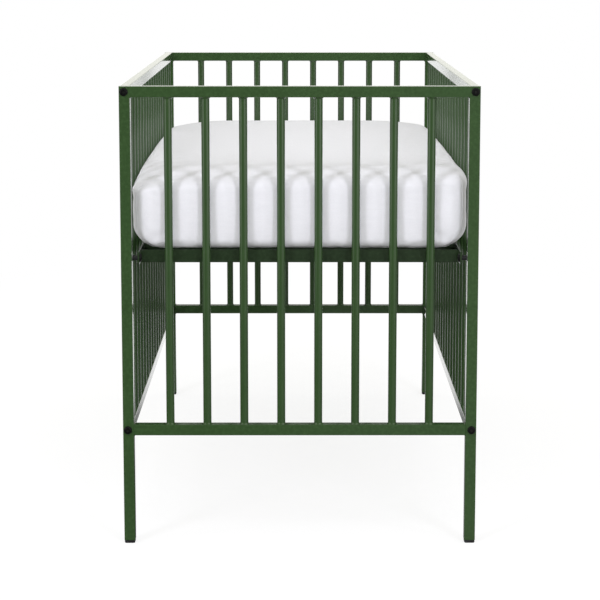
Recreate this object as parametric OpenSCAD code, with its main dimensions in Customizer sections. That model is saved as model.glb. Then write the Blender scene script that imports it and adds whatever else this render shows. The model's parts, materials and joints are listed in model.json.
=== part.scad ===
// Steel baby cot with slatted ends and sides, a bolted bed base and a mattress in a fitted sheet.
// The origin lies on the floor under the middle of the cot, +Z up, and the long axis runs along Y.
// The front end panel stands at the negative Y end.

/* [Overall size] */
// Width of an end panel, across the outer faces of its legs
cot_width = 650; // [500:10:800]
// Length between the outer faces of the two end panels
cot_length = 1250; // [1000:10:1500]
// Height of the top rails above the floor
cot_height = 847; // [780:1:1000]
// Height of the underside of the bottom rails above the floor
bottom_rail_height = 205; // [120:1:300]

/* [End panels] */
// Outer size of the square tube of the legs and end rails
tube_size = 20; // [16:1:30]
// Wall of the square tube
tube_wall = 1.5; // [1:0.1:2.5]
// Outer corner radius of the square tube
tube_corner = 1.5; // [0.8:0.1:3]

/* [Side panels] */
// Width of a side rail, across the cot
side_rail_width = 16; // [14:1:20]
// Height of a side rail
side_rail_height = 20; // [16:1:30]
// Wall of a side rail
side_rail_wall = 1.2; // [0.8:0.1:2]
// Outer corner radius of a side rail
side_rail_corner = 1.5; // [0.8:0.1:3]
// How far a side rail sits in from the outer face of the legs
side_rail_setback = 1; // [0:0.5:3]

/* [Slats] */
// Diameter of the round slats
slat_diameter = 15; // [10:1:16]
// Wall of the round slats
slat_wall = 1; // [0.8:0.1:2]
// Distance from slat to slat
slat_pitch = 68; // [50:1:75]
// Least gap between the last slat and a leg
slat_end_gap = 50; // [30:1:60]
// Radial size of the weld round a slat's end
weld_width = 1.2; // [0.4:0.1:2]
// Height of the weld round a slat's end
weld_height = 3; // [1:0.5:5]

/* [Bed base] */
// Height of the top of the bed base above the floor
base_top = 546; // [400:1:560]
// Height of the base's side rails and end bars
base_height = 23; // [20:1:26]
// Gap between a leg's inner face and the base's side rail
base_side_gap = 10.5; // [8:0.5:14]
// Gap between an end panel and the base's end bar
base_bar_gap = 10; // [4:1:30]
// Width of the lower flange of a base end bar
base_bar_depth = 20; // [16:1:30]
// Width of the lower flange of a base side rail
base_flange_width = 20; // [15:1:30]
// Thickness of the base's side rails and end bars
base_flange_thickness = 3; // [2:0.5:4]
// Corner radius at the ends of a base side rail
base_flange_corner = 3; // [1:0.5:6]
// How far a base side rail runs past its bolts
base_rail_overrun = 7; // [6:0.5:8]
// Distance from slat to slat in the base
base_slat_pitch = 68; // [50:1:90]
// Least gap between a base slat and the lower flange of an end bar
base_slat_end_gap = 25; // [15:1:45]

/* [Bolts] */
// Diameter of the bolt shanks
bolt_diameter = 6; // [5:0.5:7]
// Diameter of the bolt heads
bolt_head_diameter = 15; // [12:0.5:16]
// Height of the bolt heads
bolt_head_height = 4; // [3:0.5:5]
// Width of the hexagon socket, across its flats
bolt_socket_width = 5; // [3:0.5:6]
// Depth of the hexagon socket
bolt_socket_depth = 2.2; // [1:0.1:2.5]
// Radial clearance of a shank in a drilled hole
bolt_hole_clearance = 0.5; // [0.2:0.1:1]
// Radial clearance of a shank in a nut
bolt_nut_clearance = 0.1; // [0.05:0.05:0.2]
// Length of a frame bolt's shank inside the side rail
frame_bolt_reach = 25; // [15:1:30]
// Length of the nut block in a side rail's end
rail_nut_length = 30; // [20:1:40]
// Gap round a nut block inside its side rail
rail_nut_clearance = 0.1; // [0.05:0.05:0.3]
// Diameter of the head of a leg nut
leg_nut_head = 12; // [11:0.5:14]
// Thickness of the head of a leg nut
leg_nut_head_thickness = 1; // [0.5:0.1:1.5]
// Diameter of the barrel of a leg nut
leg_nut_barrel = 9; // [8:0.5:10]
// Length of the barrel of a leg nut
leg_nut_length = 11; // [8:0.5:12]
// Outer diameter of the spacer between leg nut and base
spacer_diameter = 9; // [8.5:0.5:12]

/* [Feet] */
// Height of a foot below its leg
foot_height = 6; // [4:1:12]
// How far a foot stays in from the leg's faces
foot_inset = 0.5; // [0:0.1:1.5]
// Bevel round the bottom of a foot
foot_bevel = 1.5; // [0.5:0.5:3]
// Length of the plug inside the leg
foot_plug_length = 18; // [10:1:30]
// Gap round the plug inside the leg
foot_plug_clearance = 0.1; // [0.05:0.05:0.3]

/* [Mattress and sheet] */
// Height of the dressed mattress at its crown
mattress_height = 145; // [80:1:160]
// Gap between the dressed mattress and a side rail
mattress_side_gap = 1.5; // [1:0.5:20]
// Gap between the dressed mattress and an end panel
mattress_end_gap = 4; // [3:0.5:20]
// Radius of the mattress's upright corners
mattress_corner = 34; // [30:1:80]
// Radius of the mattress's top edge
mattress_top_edge = 30; // [15:1:45]
// Radius of the mattress's bottom edge
mattress_bottom_edge = 14; // [8:1:25]
// How far the top rises from its edge to the crown
mattress_crown = 5; // [0:1:15]
// How far the sides draw in above the bottom edge
mattress_tuck = 6; // [0:1:15]
// Thickness of the fitted sheet
sheet_thickness = 1; // [0.6:0.1:2]
// Gap between the sheet and the mattress
sheet_clearance = 0.1; // [0.05:0.05:0.3]
// Width of the sheet that turns in under the mattress
sheet_turn_under = 80; // [40:5:120]
// Gap between the dressed mattress and the bed base
seat_clearance = 0.3; // [0.2:0.1:1]

/* [Hidden] */

steel_green = [0.24, 0.33, 0.22];
fastener_black = [0.06, 0.06, 0.06];
zinc = [0.62, 0.63, 0.64];
foam_cream = [0.93, 0.9, 0.82];
sheet_white = [0.93, 0.93, 0.96];

// Facets of round parts
fine = 48;
// Overlap of a cutting tool with what it cuts
cut = 1;

half_width = cot_width / 2;
half_length = cot_length / 2;
leg_x = half_width - tube_size / 2;
leg_y = half_length - tube_size / 2;
inner_x = half_width - tube_size;
inner_y = half_length - tube_size;

top_rail_z = cot_height - tube_size / 2;
bottom_rail_z = bottom_rail_height + tube_size / 2;
slat_bottom = bottom_rail_height + tube_size;
slat_top = cot_height - tube_size;
slat_radius = slat_diameter / 2;

// The side rails lie level with the end rails' outer faces, and their slats reach from rail to rail
side_rail_x = half_width - side_rail_setback - side_rail_width / 2;
side_top_z = cot_height - side_rail_height / 2;
side_bottom_z = bottom_rail_height + side_rail_height / 2;
side_slat_bottom = bottom_rail_height + side_rail_height;
side_slat_top = cot_height - side_rail_height;

// The base: a frame of angles, with slats from side rail to side rail, level with its upper edge
base_bottom = base_top - base_height;
base_middle = base_top - base_height / 2;
base_outer_x = inner_x - base_side_gap;
base_inner_x = base_outer_x - base_flange_thickness;
base_bar_y = inner_y - base_bar_gap;
base_rail_reach = leg_y + base_rail_overrun;
base_slat_span = 2 * (base_bar_y - base_bar_depth);

// The dressed mattress's outer size, and the bare mattress inside the sheet
dressed_x = half_width - side_rail_setback - side_rail_width - mattress_side_gap;
dressed_y = inner_y - mattress_end_gap;
dressed_bottom = base_top + seat_clearance;
cloth = sheet_thickness + sheet_clearance;

// Number of slats that fit a clear span with at least the given gap at both ends
function slat_count(span, pitch, end_gap) = floor((span - slat_diameter - 2 * end_gap) / pitch) + 1;

// Places of those slats, centred on the span
function slat_places(span, pitch, end_gap) =
    let (count = slat_count(span, pitch, end_gap))
    [for (i = [0:count - 1]) (i - (count - 1) / 2) * pitch];

// Rectangle with round corners, centred
module rounded_outline(width, height, radius) {
    square([width - 2 * radius, height], center = true);
    square([width, height - 2 * radius], center = true);
    for (x = [-1, 1], y = [-1, 1])
        translate([x * (width / 2 - radius), y * (height / 2 - radius)]) circle(radius, $fn = fine);
}

// Section of a rectangular tube; its inner corner follows the wall, down to a small least radius
module tube_section(width, height, wall, corner) {
    difference() {
        rounded_outline(width, height, corner);
        rounded_outline(width - 2 * wall, height - 2 * wall, max(corner - wall, 0.3));
    }
}

// Tube centred on its own middle, along X
module tube_along_x(length, depth, height, wall, corner) {
    rotate([90, 0, 90]) linear_extrude(length, center = true) tube_section(depth, height, wall, corner);
}

// Tube centred on its own middle, along Y
module tube_along_y(length, width, height, wall, corner) {
    rotate([90, 0, 0]) linear_extrude(length, center = true) tube_section(width, height, wall, corner);
}

// Copies a front-left piece to any corner
module at_corner(side, end) {
    mirror([side > 0 ? 1 : 0, 0, 0]) mirror([0, end > 0 ? 1 : 0, 0]) children();
}

// Round slat standing on z = 0, with a conical weld at both ends
module slat(length, weld) {
    inner = slat_radius - slat_wall;
    rotate_extrude($fn = fine)
        polygon([
            [inner, 0], [slat_radius + weld, 0], [slat_radius, weld_height],
            [slat_radius, length - weld_height], [slat_radius + weld, length], [inner, length]
        ]);
}

// The weld never stands out past the rail that it lies on
function weld_on(rail_width) = max(0, min(weld_width, (rail_width - slat_diameter) / 2));

// Button head bolt along +Z: the head stands below z = 0 and the shank above it
module bolt(shank) {
    radius = bolt_head_diameter / 2;
    crown = 0.55 * radius;
    difference() {
        rotate_extrude($fn = fine)
            polygon([
                [0, -bolt_head_height], [crown, -bolt_head_height],
                for (a = [15:15:75])
                    [crown + (radius - crown) * sin(a), -0.6 - (bolt_head_height - 0.6) * cos(a)],
                [radius, -0.6], [radius, 0], [bolt_diameter / 2, 0],
                [bolt_diameter / 2, shank - 0.8], [bolt_diameter / 2 - 0.8, shank], [0, shank]
            ]);
        translate([0, 0, -bolt_head_height - cut])
            cylinder(r = bolt_socket_width / sqrt(3), h = bolt_socket_depth + cut, $fn = 6);
    }
}

// Front left leg: a square tube mitred into the top rail, drilled for two frame bolts and a leg nut
module leg() {
    difference() {
        intersection() {
            translate([-leg_x, -leg_y, foot_height])
                linear_extrude(cot_height - foot_height)
                    tube_section(tube_size, tube_size, tube_wall, tube_corner);
            rotate([90, 0, 0]) linear_extrude(half_length + cut)
                polygon([
                    [-half_width - cut, 0], [-inner_x + cut, 0],
                    [-inner_x + cut, slat_top - cut], [-half_width - cut, cot_height + cut]
                ]);
        }
        frame_bolt_holes();
        translate([-inner_x - tube_size / 2, -leg_y, base_middle]) rotate([0, 90, 0])
            cylinder(d = leg_nut_barrel + 2 * bolt_nut_clearance, h = tube_size / 2 + cut, $fn = fine);
    }
}

// Holes through the front left corner for the bolts of the side rails
module frame_bolt_holes() {
    for (z = [side_top_z, side_bottom_z])
        translate([-side_rail_x, -half_length - cut, z]) rotate([-90, 0, 0])
            cylinder(r = bolt_diameter / 2 + bolt_hole_clearance, h = tube_size + 2 * cut, $fn = fine);
}

// Front top rail, mitred into both legs
module end_top_rail() {
    difference() {
        intersection() {
            translate([0, -leg_y, top_rail_z])
                tube_along_x(cot_width, tube_size, tube_size, tube_wall, tube_corner);
            rotate([90, 0, 0]) linear_extrude(half_length + cut)
                polygon([
                    [-half_width - cut, cot_height + cut], [-inner_x + cut, slat_top - cut],
                    [inner_x - cut, slat_top - cut], [half_width + cut, cot_height + cut]
                ]);
        }
        for (side = [-1, 1]) at_corner(side, -1) frame_bolt_holes();
    }
}

// Front bottom rail, between the legs
module end_bottom_rail() {
    translate([0, -leg_y, bottom_rail_z])
        tube_along_x(2 * inner_x, tube_size, tube_size, tube_wall, tube_corner);
}

// Slats of the front end panel
module end_slats() {
    for (x = slat_places(2 * inner_x, slat_pitch, slat_end_gap))
        translate([x, -leg_y, slat_bottom]) slat(slat_top - slat_bottom, weld_on(tube_size));
}

// Left side rail at a height
module side_rail(z) {
    translate([-side_rail_x, 0, z])
        tube_along_y(2 * inner_y, side_rail_width, side_rail_height, side_rail_wall, side_rail_corner);
}

// Slats of the left side panel
module side_slats() {
    for (y = slat_places(2 * inner_y, slat_pitch, slat_end_gap))
        translate([-side_rail_x, y, side_slat_bottom])
            slat(side_slat_top - side_slat_bottom, weld_on(side_rail_width));
}

// Nut block inside the front end of the left side rail at a height
module rail_nut(z) {
    gap = side_rail_wall + rail_nut_clearance;
    translate([-side_rail_x, -inner_y, z]) rotate([-90, 0, 0])
        linear_extrude(rail_nut_length) difference() {
            rounded_outline(side_rail_width - 2 * gap, side_rail_height - 2 * gap, 0.6);
            circle(bolt_diameter / 2 + bolt_nut_clearance, $fn = fine);
        }
}

// The four nut blocks of the left side panel
module side_rail_nuts() {
    for (end = [-1, 1], z = [side_top_z, side_bottom_z]) at_corner(-1, end) rail_nut(z);
}

// The four bolts that hold the front end panel to the side rails
module end_frame_bolts() {
    for (side = [-1, 1]) at_corner(side, -1)
        for (z = [side_top_z, side_bottom_z])
            translate([-side_rail_x, -half_length, z]) rotate([-90, 0, 0])
                bolt(tube_size + frame_bolt_reach);
}

// Front left foot: a bevelled pad with a plug that fits inside the leg
module foot() {
    pad = tube_size - 2 * foot_inset;
    plug = tube_size - 2 * (tube_wall + foot_plug_clearance);
    translate([-leg_x, -leg_y, 0]) {
        hull() {
            linear_extrude(foot_height) rounded_outline(pad - 2 * foot_bevel, pad - 2 * foot_bevel, 1);
            translate([0, 0, foot_bevel])
                linear_extrude(foot_height - foot_bevel) rounded_outline(pad, pad, 2, $fn = 32);
        }
        translate([0, 0, foot_height]) linear_extrude(foot_plug_length) difference() {
            rounded_outline(plug, plug, 0.6);
            for (turn = [0, 90]) rotate(turn) square([plug - 4, 3], center = true);
        }
    }
}

// Left side rail of the base: an angle whose upright flange runs on to the bolts at the legs
module base_side_rail() {
    difference() {
        union() {
            translate([-base_outer_x, 0, base_middle]) rotate([90, 0, 90])
                linear_extrude(base_flange_thickness)
                    rounded_outline(2 * base_rail_reach, base_height, base_flange_corner);
            translate([-base_outer_x, -base_slat_span / 2, base_bottom])
                cube([base_flange_width, base_slat_span, base_flange_thickness]);
        }
        for (y = [-leg_y, leg_y]) translate([-base_outer_x - cut, y, base_middle]) rotate([0, 90, 0])
            cylinder(
                r = bolt_diameter / 2 + bolt_hole_clearance,
                h = base_flange_thickness + 2 * cut,
                $fn = fine
            );
    }
}

// Front end bar of the base: an angle between the side rails
module base_end_bar() {
    translate([-base_inner_x, -base_bar_y, base_bottom]) {
        cube([2 * base_inner_x, base_flange_thickness, base_height]);
        cube([2 * base_inner_x, base_bar_depth, base_flange_thickness]);
    }
}

// Slats of the base, across the cot
module base_slat_row() {
    for (y = slat_places(base_slat_span, base_slat_pitch, base_slat_end_gap))
        translate([-base_inner_x, y, base_top - slat_radius]) rotate([0, 90, 0])
            slat(2 * base_inner_x, 0);
}

// Places of the four base bolts: children are made for the front left corner, along -X
module at_base_bolts() {
    for (side = [-1, 1], end = [-1, 1]) at_corner(side, end)
        translate([0, -leg_y, base_middle]) rotate([0, -90, 0]) children();
}

// Bolt from inside the base, through its side rail and spacer into the leg nut
module base_bolt() {
    translate([0, 0, base_inner_x]) bolt(inner_x + leg_nut_length - base_inner_x);
}

// Spacer between the base's side rail and the leg nut
module base_spacer() {
    translate([0, 0, base_outer_x])
        linear_extrude(base_side_gap - leg_nut_head_thickness) difference() {
            circle(d = spacer_diameter, $fn = fine);
            circle(bolt_diameter / 2 + bolt_hole_clearance, $fn = fine);
        }
}

// Nut whose head lies on the leg's inner face and whose barrel stands inside the leg
module leg_nut() {
    translate([0, 0, inner_x]) rotate_extrude($fn = fine)
        polygon([
            [bolt_diameter / 2 + bolt_nut_clearance, -leg_nut_head_thickness],
            [leg_nut_head / 2, -leg_nut_head_thickness], [leg_nut_head / 2, 0],
            [leg_nut_barrel / 2, 0], [leg_nut_barrel / 2, leg_nut_length],
            [bolt_diameter / 2 + bolt_nut_clearance, leg_nut_length]
        ]);
}

// Outline of a soft form at one height: a rectangle with round corners, seen from above
corner_steps = 6;
function soft_ring(half_x, half_y, radius, z) = [
    for (quarter = [0:3], step = [0:corner_steps])
        let (
            angle = 90 * (quarter + step / corner_steps),
            side_x = (quarter == 0 || quarter == 3) ? 1 : -1,
            side_y = quarter < 2 ? 1 : -1
        )
        [
            side_x * (half_x - radius) + radius * cos(angle),
            side_y * (half_y - radius) + radius * sin(angle),
            z
        ]
];

// Half outline of the mattress from its bottom edge to its crown, as [inset, height] pairs
function soft_profile(height) =
    let (
        side_low = mattress_bottom_edge,
        side_high = height - mattress_crown - mattress_top_edge,
        edge_top = height - mattress_crown
    )
    [
        for (a = [0:30:90])
            [mattress_tuck + side_low * (1 - sin(a)), side_low * (1 - cos(a))],
        for (t = [0.25:0.25:1])
            [mattress_tuck * pow(1 - t, 2), side_low + t * (side_high - side_low)],
        for (a = [18:18:90])
            [mattress_top_edge * (1 - cos(a)), side_high + mattress_top_edge * sin(a)],
        for (t = [0.25:0.25:0.75])
            let (rest = dressed_x - mattress_top_edge)
            [mattress_top_edge + t * rest, edge_top + mattress_crown * (1 - pow(1 - t, 2))]
    ];

// Rings of the mattress, drawn in by an even margin all round, with no part of it below the given turn-in
function soft_rings(margin, turn_in) = [
    let (
        height = mattress_height - 2 * margin,
        bottom_edge = soft_profile(height)[0]
    )
    for (p = concat([[bottom_edge[0] + turn_in, bottom_edge[1]]], soft_profile(height)))
        soft_ring(
            dressed_x - margin - p[0],
            dressed_y - margin - p[0],
            max(mattress_corner - p[0] / 2 - margin, 6),
            dressed_bottom + margin + p[1]
        )
];

// Closed solid through a chain of rings, with a middle point at each end of the chain
module ringed_solid(rings, first, last) {
    count = len(rings[0]);
    points = concat([first], [for (ring = rings) each ring], [last]);
    end = len(points) - 1;
    function at(ring, i) = 1 + ring * count + i % count;
    polyhedron(
        points,
        concat(
            [for (i = [0:count - 1]) [0, at(0, i), at(0, i + 1)]],
            [for (k = [0:len(rings) - 2], i = [0:count - 1]) [at(k, i), at(k + 1, i), at(k + 1, i + 1)]],
            [for (k = [0:len(rings) - 2], i = [0:count - 1]) [at(k, i), at(k + 1, i + 1), at(k, i + 1)]],
            [for (i = [0:count - 1]) [end, at(len(rings) - 1, i + 1), at(len(rings) - 1, i)]]
        )
    );
}

// Crown of the form that is drawn in by a margin
function crown_point(margin) = [0, 0, dressed_bottom + mattress_height - margin];

// Mattress: crowned top, round edges and sides that draw in towards the base
module bare_mattress() {
    rings = soft_rings(cloth, sheet_turn_under);
    ringed_solid(rings, [0, 0, rings[0][0][2]], crown_point(cloth));
}

// Fitted sheet: a thin skin over the mattress's top and sides, turned in under its bottom edge
module sheet_skin() {
    inner = soft_rings(sheet_thickness, sheet_turn_under);
    outer = soft_rings(0, sheet_turn_under);
    down = [for (k = [len(inner) - 1:-1:0]) inner[k]];
    ringed_solid(concat(down, outer), crown_point(sheet_thickness), crown_point(0));
}

module front_left_leg() { color(steel_green) leg(); }
module front_right_leg() { color(steel_green) at_corner(1, -1) leg(); }
module front_top_rail() { color(steel_green) end_top_rail(); }
module front_bottom_rail() { color(steel_green) end_bottom_rail(); }
module front_slats() { color(steel_green) end_slats(); }
module back_left_leg() { color(steel_green) at_corner(-1, 1) leg(); }
module back_right_leg() { color(steel_green) at_corner(1, 1) leg(); }
module back_top_rail() { color(steel_green) at_corner(-1, 1) end_top_rail(); }
module back_bottom_rail() { color(steel_green) at_corner(-1, 1) end_bottom_rail(); }
module back_slats() { color(steel_green) at_corner(-1, 1) end_slats(); }
module left_top_rail() { color(steel_green) side_rail(side_top_z); }
module left_bottom_rail() { color(steel_green) side_rail(side_bottom_z); }
module left_slats() { color(steel_green) side_slats(); }
module right_top_rail() { color(steel_green) at_corner(1, -1) side_rail(side_top_z); }
module right_bottom_rail() { color(steel_green) at_corner(1, -1) side_rail(side_bottom_z); }
module right_slats() { color(steel_green) at_corner(1, -1) side_slats(); }
module left_rail_nuts() { color(zinc) side_rail_nuts(); }
module right_rail_nuts() { color(zinc) at_corner(1, -1) side_rail_nuts(); }
module front_frame_bolts() { color(fastener_black) end_frame_bolts(); }
module back_frame_bolts() { color(fastener_black) at_corner(-1, 1) end_frame_bolts(); }
module front_left_foot() { color(fastener_black) foot(); }
module front_right_foot() { color(fastener_black) at_corner(1, -1) foot(); }
module back_left_foot() { color(fastener_black) at_corner(-1, 1) foot(); }
module back_right_foot() { color(fastener_black) at_corner(1, 1) foot(); }
module base_left_rail() { color(steel_green) base_side_rail(); }
module base_right_rail() { color(steel_green) at_corner(1, -1) base_side_rail(); }
module base_front_bar() { color(steel_green) base_end_bar(); }
module base_back_bar() { color(steel_green) at_corner(-1, 1) base_end_bar(); }
module base_slats() { color(steel_green) base_slat_row(); }
module base_bolts() { color(fastener_black) at_base_bolts() base_bolt(); }
module base_spacers() { color(fastener_black) at_base_bolts() base_spacer(); }
module leg_nuts() { color(zinc) at_base_bolts() leg_nut(); }
module mattress() { color(foam_cream) bare_mattress(); }
module fitted_sheet() { color(sheet_white) sheet_skin(); }

front_left_leg();
front_right_leg();
front_top_rail();
front_bottom_rail();
front_slats();
back_left_leg();
back_right_leg();
back_top_rail();
back_bottom_rail();
back_slats();
left_top_rail();
left_bottom_rail();
left_slats();
right_top_rail();
right_bottom_rail();
right_slats();
left_rail_nuts();
right_rail_nuts();
front_frame_bolts();
back_frame_bolts();
front_left_foot();
front_right_foot();
back_left_foot();
back_right_foot();
base_left_rail();
base_right_rail();
base_front_bar();
base_back_bar();
base_slats();
base_bolts();
base_spacers();
leg_nuts();
mattress();
fitted_sheet();
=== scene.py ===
"""Blender dressing of the steel baby cot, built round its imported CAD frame.

All lengths are metres in the frame of the CAD model: +Z up, the cot's long axis along Y, the
front end panel at negative Y and the floor at z = 0.
"""
import json
import logging
import math
from dataclasses import dataclass
from enum import Enum, IntEnum
from typing import Callable, Sequence

import bpy
import numpy as np
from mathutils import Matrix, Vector


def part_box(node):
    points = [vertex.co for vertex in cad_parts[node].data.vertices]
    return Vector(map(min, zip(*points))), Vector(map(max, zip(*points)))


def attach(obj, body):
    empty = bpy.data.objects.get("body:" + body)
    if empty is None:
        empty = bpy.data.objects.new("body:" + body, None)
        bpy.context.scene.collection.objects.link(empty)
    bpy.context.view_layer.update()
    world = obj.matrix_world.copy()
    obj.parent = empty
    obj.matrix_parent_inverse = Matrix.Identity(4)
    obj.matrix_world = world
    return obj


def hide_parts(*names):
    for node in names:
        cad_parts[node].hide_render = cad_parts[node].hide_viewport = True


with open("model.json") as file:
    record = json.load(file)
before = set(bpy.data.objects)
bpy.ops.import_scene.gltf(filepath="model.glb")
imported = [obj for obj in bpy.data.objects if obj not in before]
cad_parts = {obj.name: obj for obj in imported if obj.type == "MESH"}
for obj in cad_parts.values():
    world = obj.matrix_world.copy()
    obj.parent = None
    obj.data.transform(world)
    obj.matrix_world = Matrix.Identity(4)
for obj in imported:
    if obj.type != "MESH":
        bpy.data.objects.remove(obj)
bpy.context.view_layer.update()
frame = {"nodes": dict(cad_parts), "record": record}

LOG = logging.getLogger("cot")
MM = 0.001
TINY = 1e-9

Colour = tuple[float, float, float]
Pair = tuple[float, float]


class Body(Enum):
    """The bodies of the cot that pieces ride on."""

    COT = "cot"
    BEDDING = "bedding"


class Slot(Enum):
    """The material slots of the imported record."""

    FRAME = "frame_steel"
    BASE = "base_steel"
    BOLTS = "black_bolts"
    NUTS = "zinc_nuts"
    FEET = "black_feet"
    TICKING = "mattress_ticking"
    SHEET = "cotton_sheet"


class Seed(IntEnum):
    """Starts of the random draws."""

    END_SLATS = 2
    CROWN = 3
    SWELL = 5
    RIPPLE_PATH = 9
    RIPPLE_PATCHES = 14
    HEM_WIDTH = 21
    HEM_HEIGHT = 22
    SEAM_WIDTH = 31
    RAIL_SEAMS = 200
    CORNER_SEAMS = 220
    SIDE_SLATS = 400
    BASE_SLATS = 700
    BASE_SEAMS = 900


@dataclass(frozen=True)
class NodeBox:
    """The box of a CAD node at rest, to a thousandth of a millimetre.

    Attributes:
        low: Its lowest corner.
        high: Its highest corner.
        size: Its width, length and height.
    """

    low: list[float]
    high: list[float]
    size: list[float]

    @classmethod
    def of(cls, node: str) -> "NodeBox":
        """Returns the box of a node."""
        low, high = (np.array(corner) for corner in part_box(node))
        return cls(*(np.round(row, 6).tolist() for row in (low, high, high - low)))


LEG = NodeBox.of("back_right_leg")
BOTTOM_RAIL = NodeBox.of("back_bottom_rail")
SIDE_RAIL = NodeBox.of("right_top_rail")
BASE_BAR = NodeBox.of("base_back_bar")
BASE_SLATS = NodeBox.of("base_slats")
SHEET = NodeBox.of("fitted_sheet")


# Meshes


def mesh_object(name: str, points: np.ndarray, faces: Sequence[Sequence[int]]) -> bpy.types.Object:
    """Makes a smooth-shaded mesh object in the scene.

    Args:
        name: Name of the object and its mesh.
        points: Vertices, one row of three numbers each.
        faces: Vertex numbers of each face.

    Returns:
        The new object.
    """
    mesh = bpy.data.meshes.new(name)
    mesh.from_pydata([tuple(p) for p in points], [], [tuple(f) for f in faces])
    mesh.validate()
    mesh.shade_smooth()
    piece = bpy.data.objects.new(name, mesh)
    bpy.context.scene.collection.objects.link(piece)
    return piece


def apply_modifiers(piece: bpy.types.Object) -> None:
    """Replaces a piece's mesh with the one that its modifiers give, and clears them.

    Args:
        piece: The mesh object.
    """
    bpy.context.view_layer.update()
    graph = bpy.context.evaluated_depsgraph_get()
    made = bpy.data.meshes.new_from_object(piece.evaluated_get(graph))
    made.name = piece.name
    piece.modifiers.clear()
    piece.data = made


def subdivide(piece: bpy.types.Object) -> None:
    """Rounds a piece's mesh by one step of subdivision.

    Args:
        piece: The mesh object.
    """
    rounding = piece.modifiers.new("rounding", "SUBSURF")
    rounding.levels = rounding.render_levels = 1
    apply_modifiers(piece)


def rows(mesh: bpy.types.Mesh, attribute: str = "co") -> np.ndarray:
    """Reads three numbers of each vertex of a mesh.

    Args:
        mesh: The mesh.
        attribute: "co" for the vertices' places, or "normal" for their normals.

    Returns:
        One row of three numbers for each vertex.
    """
    values = np.empty(len(mesh.vertices) * 3)
    mesh.vertices.foreach_get(attribute, values)
    return values.reshape(-1, 3)


def smooth_step(t: np.ndarray | float) -> np.ndarray:
    """Returns the smooth rise from 0 to 1 for t from 0 to 1."""
    t = np.clip(t, 0.0, 1.0)
    return t * t * (3 - 2 * t)


def unit(vectors: np.ndarray) -> np.ndarray:
    """Returns vectors, one in each row, with a length of 1."""
    return vectors / np.linalg.norm(vectors, axis=1, keepdims=True)


def soft_waves(points: np.ndarray, lengths: Pair, seed: int, waves: int = 6) -> np.ndarray:
    """Adds up plane waves of several lengths and directions.

    Args:
        points: Where to read the waves, one row of coordinates each.
        lengths: Shortest and longest wave length.
        seed: Start of the random draws.
        waves: Number of waves.

    Returns:
        One value for each point, mostly between -1 and 1.
    """
    draw = np.random.default_rng(int(seed))
    total = np.zeros(len(points))
    for _ in range(waves):
        direction = draw.normal(size=points.shape[1])
        direction /= np.linalg.norm(direction)
        length = draw.uniform(*lengths)
        phase = draw.uniform(0, 2 * math.pi)
        total += np.sin(points @ direction * (2 * math.pi / length) + phase)
    return total / math.sqrt(waves)


def spaced(line: np.ndarray, gap: float, closed: bool = False) -> tuple[np.ndarray, np.ndarray]:
    """Spaces points evenly along a line.

    Args:
        line: Points of the line.
        gap: Distance from point to point.
        closed: Whether the line runs back to its start.

    Returns:
        How far along the line the new points are, and the points.
    """
    if closed:
        line = np.concatenate([line, line[:1]])
    steps = np.linalg.norm(np.diff(line, axis=0), axis=1)
    travel = np.concatenate([[0], np.cumsum(steps)])
    if closed:
        count = int(travel[-1] / gap)
        s = np.arange(count) * travel[-1] / count
    else:
        s = np.arange(0, travel[-1], gap)
    return s, np.stack([np.interp(s, travel, line[:, k]) for k in range(3)], 1)


@dataclass
class Bead:
    """A rope-like solid along a path, as a weld bead or a rolled hem has.

    Attributes:
        path: Points of the centreline.
        width: Half width of the section at each point, along side.
        height: Half height of the section at each point, across side.
        side: Direction across the path, at each point.
        closed: Whether the path runs back to its start.
        sides: Corners of the section.
    """

    path: np.ndarray
    width: np.ndarray
    height: np.ndarray
    side: np.ndarray
    closed: bool = False
    sides: int = 8

    def mesh(self, first: int) -> tuple[np.ndarray, list[tuple[int, ...]]]:
        """Builds the bead's points and faces.

        Args:
            first: Number of the first vertex, for a bead that joins others in one mesh.

        Returns:
            The points and the faces.
        """
        count = len(self.path)
        along = np.roll(self.path, -1, 0) - np.roll(self.path, 1, 0)
        if not self.closed:
            along[0] = self.path[1] - self.path[0]
            along[-1] = self.path[-1] - self.path[-2]
        up = unit(np.cross(self.side, along))
        turn = np.arange(self.sides) * 2 * math.pi / self.sides
        points = (
            self.path[:, None]
            + (self.side * self.width[:, None])[:, None] * np.cos(turn)[None, :, None]
            + (up * self.height[:, None])[:, None] * np.sin(turn)[None, :, None]
        ).reshape(-1, 3)
        faces = []
        for k in range(count if self.closed else count - 1):
            here, there = k * self.sides, (k + 1) % count * self.sides
            for i in range(self.sides):
                j = (i + 1) % self.sides
                faces.append((here + i, here + j, there + j, there + i))
        if not self.closed:
            faces.append(tuple(range(self.sides))[::-1])
            faces.append(tuple((count - 1) * self.sides + i for i in range(self.sides)))
        return points, [tuple(first + v for v in face) for face in faces]


def beads_object(name: str, beads: Sequence[Bead]) -> bpy.types.Object:
    """Joins several beads into one mesh object.

    Args:
        name: Name of the object.
        beads: The beads.

    Returns:
        The new object.
    """
    all_points, all_faces, count = [], [], 0
    for bead in beads:
        points, faces = bead.mesh(count)
        all_points.append(points)
        all_faces.extend(faces)
        count += len(points)
    return mesh_object(name, np.concatenate(all_points), all_faces)


# Shader tools


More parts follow.
